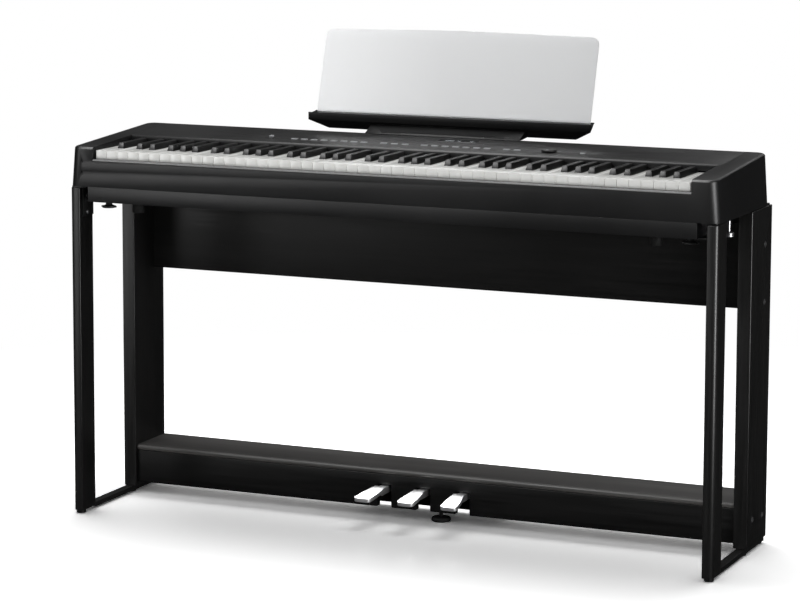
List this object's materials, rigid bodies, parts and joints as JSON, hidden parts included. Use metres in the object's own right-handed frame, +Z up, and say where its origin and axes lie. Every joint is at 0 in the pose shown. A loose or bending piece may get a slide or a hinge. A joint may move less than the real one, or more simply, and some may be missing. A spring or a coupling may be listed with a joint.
{
  "type": "digital piano on stand",
  "caption": "Slim digital piano with a full weighted keyboard and lift-off music rest, screwed to a panel stand with front legs, a back panel and a pedal box with pedals.",
  "frame": {"origin": "on the floor, in the middle of the object's width and depth", "axes": "+X to the player's right, +Y from the player's side to the back, +Z up"},
  "size_m": [1.335, 0.4064, 0.9616],
  "materials": {
    "case_plastic": "fine-textured satin black",
    "panel_plastic": "satin black",
    "display_glass": "gloss black window",
    "button_plastic": "satin grey",
    "white_key_plastic": "polished white",
    "black_key_plastic": "matt black",
    "key_frame_steel": "galvanised",
    "circuit_board_laminate": "green solder resist",
    "speaker_metal": "black paint",
    "frosted_acrylic": "frosted, lets light through",
    "stand_laminate": "black laminate with a faint grain",
    "pedal_board_laminate": "black-brown laminate with a faint grain",
    "bracket_steel": "black paint",
    "pedal_chrome": "bright plated",
    "screw_plastic": "matt black",
    "foot_rubber": "matt black"
  },
  "bodies": {
    "stand_and_case": {"left_side_panel": "stand_laminate", "right_side_panel": "stand_laminate", "left_front_leg": "stand_laminate", "right_front_leg": "stand_laminate", "left_runner": "stand_laminate", "right_runner": "stand_laminate", "left_bracket": "bracket_steel", "right_bracket": "bracket_steel", "back_panel": "stand_laminate", "pedal_box_top": "pedal_board_laminate", "pedal_box_front": "stand_laminate", "pedal_frame": "bracket_steel", "lower_case": "case_plastic", "left_end_block": "case_plastic", "right_end_block": "case_plastic", "front_rail": "case_plastic", "rear_cover": "case_plastic", "control_panel": "panel_plastic", "display_window": "display_glass", "key_frame": "key_frame_steel", "main_circuit_board": "circuit_board_laminate", "left_speaker": "speaker_metal", "right_speaker": "speaker_metal", "headphone_jack_block": "panel_plastic", "rear_socket_block": "panel_plastic"},
    "white_key_c4": {"white_key_c4": "white_key_plastic"},
    "white_key_d4": {"white_key_d4": "white_key_plastic"},
    "white_key_e4": {"white_key_e4": "white_key_plastic"},
    "white_key_f4": {"white_key_f4": "white_key_plastic"},
    "white_key_g4": {"white_key_g4": "white_key_plastic"},
    "white_key_a4": {"white_key_a4": "white_key_plastic"},
    "white_key_b4": {"white_key_b4": "white_key_plastic"},
    "black_key_c_sharp4": {"black_key_c_sharp4": "black_key_plastic"},
    "black_key_d_sharp4": {"black_key_d_sharp4": "black_key_plastic"},
    "black_key_f_sharp4": {"black_key_f_sharp4": "black_key_plastic"},
    "black_key_g_sharp4": {"black_key_g_sharp4": "black_key_plastic"},
    "black_key_a_sharp4": {"black_key_a_sharp4": "black_key_plastic"},
    "bass_white_keys": {"bass_white_keys": "white_key_plastic"},
    "bass_black_keys": {"bass_black_keys": "black_key_plastic"},
    "tenor_white_keys": {"tenor_white_keys": "white_key_plastic"},
    "tenor_black_keys": {"tenor_black_keys": "black_key_plastic"},
    "treble_white_keys": {"treble_white_keys": "white_key_plastic"},
    "treble_black_keys": {"treble_black_keys": "black_key_plastic"},
    "top_white_keys": {"top_white_keys": "white_key_plastic"},
    "top_black_keys": {"top_black_keys": "black_key_plastic"},
    "left_buttons": {"left_buttons": "button_plastic"},
    "middle_buttons": {"middle_buttons": "button_plastic"},
    "right_buttons": {"right_buttons": "button_plastic"},
    "pair_buttons": {"pair_buttons": "button_plastic"},
    "power_button": {"power_button": "button_plastic"},
    "volume_slider": {"volume_slider": "button_plastic"},
    "data_dial": {"data_dial": "panel_plastic"},
    "music_rest": {"music_rest_holder": "panel_plastic", "music_rest_panel": "frosted_acrylic"},
    "soft_pedal": {"soft_pedal": "pedal_chrome"},
    "sostenuto_pedal": {"sostenuto_pedal": "pedal_chrome"},
    "damper_pedal": {"damper_pedal": "pedal_chrome"},
    "adjuster_foot": {"adjuster_foot": "foot_rubber"},
    "left_hand_screw": {"left_hand_screw": "screw_plastic"},
    "right_hand_screw": {"right_hand_screw": "screw_plastic"}
  },
  "joints": [
    {"name": "white_key_c4_hinge", "type": "hinge", "parent": "stand_and_case", "child": "white_key_c4", "pos_m": [0, 0.0118, 0.718], "axis": [1, 0, 0], "range_deg": [0, 2.75], "stiffness_Nm_per_rad": 2, "springref_deg": -5.73},
    {"name": "white_key_d4_hinge", "type": "hinge", "parent": "stand_and_case", "child": "white_key_d4", "pos_m": [0, 0.0118, 0.718], "axis": [1, 0, 0], "range_deg": [0, 2.75], "stiffness_Nm_per_rad": 2, "springref_deg": -5.73},
    {"name": "white_key_e4_hinge", "type": "hinge", "parent": "stand_and_case", "child": "white_key_e4", "pos_m": [0, 0.0118, 0.718], "axis": [1, 0, 0], "range_deg": [0, 2.75], "stiffness_Nm_per_rad": 2, "springref_deg": -5.73},
    {"name": "white_key_f4_hinge", "type": "hinge", "parent": "stand_and_case", "child": "white_key_f4", "pos_m": [0, 0.0118, 0.718], "axis": [1, 0, 0], "range_deg": [0, 2.75], "stiffness_Nm_per_rad": 2, "springref_deg": -5.73},
    {"name": "white_key_g4_hinge", "type": "hinge", "parent": "stand_and_case", "child": "white_key_g4", "pos_m": [0, 0.0118, 0.718], "axis": [1, 0, 0], "range_deg": [0, 2.75], "stiffness_Nm_per_rad": 2, "springref_deg": -5.73},
    {"name": "white_key_a4_hinge", "type": "hinge", "parent": "stand_and_case", "child": "white_key_a4", "pos_m": [0, 0.0118, 0.718], "axis": [1, 0, 0], "range_deg": [0, 2.75], "stiffness_Nm_per_rad": 2, "springref_deg": -5.73},
    {"name": "white_key_b4_hinge", "type": "hinge", "parent": "stand_and_case", "child": "white_key_b4", "pos_m": [0, 0.0118, 0.718], "axis": [1, 0, 0], "range_deg": [0, 2.75], "stiffness_Nm_per_rad": 2, "springref_deg": -5.73},
    {"name": "black_key_c_sharp4_hinge", "type": "hinge", "parent": "stand_and_case", "child": "black_key_c_sharp4", "pos_m": [0, 0.0198, 0.718], "axis": [1, 0, 0], "range_deg": [0, 3.4], "stiffness_Nm_per_rad": 1.5, "springref_deg": -5.73},
    {"name": "black_key_d_sharp4_hinge", "type": "hinge", "parent": "stand_and_case", "child": "black_key_d_sharp4", "pos_m": [0, 0.0198, 0.718], "axis": [1, 0, 0], "range_deg": [0, 3.4], "stiffness_Nm_per_rad": 1.5, "springref_deg": -5.73},
    {"name": "black_key_f_sharp4_hinge", "type": "hinge", "parent": "stand_and_case", "child": "black_key_f_sharp4", "pos_m": [0, 0.0198, 0.718], "axis": [1, 0, 0], "range_deg": [0, 3.4], "stiffness_Nm_per_rad": 1.5, "springref_deg": -5.73},
    {"name": "black_key_g_sharp4_hinge", "type": "hinge", "parent": "stand_and_case", "child": "black_key_g_sharp4", "pos_m": [0, 0.0198, 0.718], "axis": [1, 0, 0], "range_deg": [0, 3.4], "stiffness_Nm_per_rad": 1.5, "springref_deg": -5.73},
    {"name": "black_key_a_sharp4_hinge", "type": "hinge", "parent": "stand_and_case", "child": "black_key_a_sharp4", "pos_m": [0, 0.0198, 0.718], "axis": [1, 0, 0], "range_deg": [0, 3.4], "stiffness_Nm_per_rad": 1.5, "springref_deg": -5.73},
    {"name": "bass_white_keys_hinge", "type": "hinge", "parent": "stand_and_case", "child": "bass_white_keys", "pos_m": [0, 0.0118, 0.718], "axis": [1, 0, 0], "range_deg": [0, 2.75], "stiffness_Nm_per_rad": 18, "springref_deg": -5.73},
    {"name": "bass_black_keys_hinge", "type": "hinge", "parent": "stand_and_case", "child": "bass_black_keys", "pos_m": [0, 0.0198, 0.718], "axis": [1, 0, 0], "range_deg": [0, 3.4], "stiffness_Nm_per_rad": 9, "springref_deg": -5.73},
    {"name": "tenor_white_keys_hinge", "type": "hinge", "parent": "stand_and_case", "child": "tenor_white_keys", "pos_m": [0, 0.0118, 0.718], "axis": [1, 0, 0], "range_deg": [0, 2.75], "stiffness_Nm_per_rad": 28, "springref_deg": -5.73},
    {"name": "tenor_black_keys_hinge", "type": "hinge", "parent": "stand_and_case", "child": "tenor_black_keys", "pos_m": [0, 0.0198, 0.718], "axis": [1, 0, 0], "range_deg": [0, 3.4], "stiffness_Nm_per_rad": 15, "springref_deg": -5.73},
    {"name": "treble_white_keys_hinge", "type": "hinge", "parent": "stand_and_case", "child": "treble_white_keys", "pos_m": [0, 0.0118, 0.718], "axis": [1, 0, 0], "range_deg": [0, 2.75], "stiffness_Nm_per_rad": 28, "springref_deg": -5.73},
    {"name": "treble_black_keys_hinge", "type": "hinge", "parent": "stand_and_case", "child": "treble_black_keys", "pos_m": [0, 0.0198, 0.718], "axis": [1, 0, 0], "range_deg": [0, 3.4], "stiffness_Nm_per_rad": 15, "springref_deg": -5.73},
    {"name": "top_white_keys_hinge", "type": "hinge", "parent": "stand_and_case", "child": "top_white_keys", "pos_m": [0, 0.0118, 0.718], "axis": [1, 0, 0], "range_deg": [0, 2.75], "stiffness_Nm_per_rad": 16, "springref_deg": -5.73},
    {"name": "top_black_keys_hinge", "type": "hinge", "parent": "stand_and_case", "child": "top_black_keys", "pos_m": [0, 0.0198, 0.718], "axis": [1, 0, 0], "range_deg": [0, 3.4], "stiffness_Nm_per_rad": 7.5, "springref_deg": -5.73},
    {"name": "left_buttons_slide", "type": "slide", "parent": "stand_and_case", "child": "left_buttons", "axis": [0, 0, -1], "range_m": [0, 0.001], "stiffness_N_per_m": 1000, "springref_m": -0.002},
    {"name": "middle_buttons_slide", "type": "slide", "parent": "stand_and_case", "child": "middle_buttons", "axis": [0, 0, -1], "range_m": [0, 0.001], "stiffness_N_per_m": 500, "springref_m": -0.002},
    {"name": "right_buttons_slide", "type": "slide", "parent": "stand_and_case", "child": "right_buttons", "axis": [0, 0, -1], "range_m": [0, 0.001], "stiffness_N_per_m": 900, "springref_m": -0.002},
    {"name": "pair_buttons_slide", "type": "slide", "parent": "stand_and_case", "child": "pair_buttons", "axis": [0, 0, -1], "range_m": [0, 0.001], "stiffness_N_per_m": 400, "springref_m": -0.002},
    {"name": "power_button_slide", "type": "slide", "parent": "stand_and_case", "child": "power_button", "axis": [0, 0, -1], "range_m": [0, 0.001], "stiffness_N_per_m": 300, "springref_m": -0.002},
    {"name": "volume_slider_slide", "type": "slide", "parent": "stand_and_case", "child": "volume_slider", "axis": [1, 0, 0], "range_m": [-0.012, 0.012]},
    {"name": "data_dial_hinge", "type": "hinge", "parent": "stand_and_case", "child": "data_dial", "pos_m": [0.264, 0.0028, 0.752], "axis": [0, 0, 1], "continuous": true},
    {"name": "music_rest_slide", "type": "slide", "parent": "stand_and_case", "child": "music_rest", "axis": [0, 0, 1], "range_m": [0, 0.015]},
    {"name": "soft_pedal_hinge", "type": "hinge", "parent": "stand_and_case", "child": "soft_pedal", "pos_m": [0, 0.0968, 0.06], "axis": [1, 0, 0], "range_deg": [0, 4.2], "stiffness_Nm_per_rad": 25, "springref_deg": -4.58},
    {"name": "sostenuto_pedal_hinge", "type": "hinge", "parent": "stand_and_case", "child": "sostenuto_pedal", "pos_m": [0, 0.0968, 0.06], "axis": [1, 0, 0], "range_deg": [0, 4.2], "stiffness_Nm_per_rad": 25, "springref_deg": -4.58},
    {"name": "damper_pedal_hinge", "type": "hinge", "parent": "stand_and_case", "child": "damper_pedal", "pos_m": [0, 0.0968, 0.06], "axis": [1, 0, 0], "range_deg": [0, 4.2], "stiffness_Nm_per_rad": 25, "springref_deg": -4.58},
    {"name": "adjuster_foot_slide", "type": "slide", "parent": "stand_and_case", "child": "adjuster_foot", "axis": [0, 0, 1], "range_m": [0, 0.006]},
    {"name": "left_hand_screw_hinge", "type": "hinge", "parent": "stand_and_case", "child": "left_hand_screw", "pos_m": [-0.602, -0.1612, 0.622], "axis": [0, 0, 1], "continuous": true},
    {"name": "right_hand_screw_hinge", "type": "hinge", "parent": "stand_and_case", "child": "right_hand_screw", "pos_m": [0.602, -0.1612, 0.622], "axis": [0, 0, 1], "continuous": true}
  ]
}
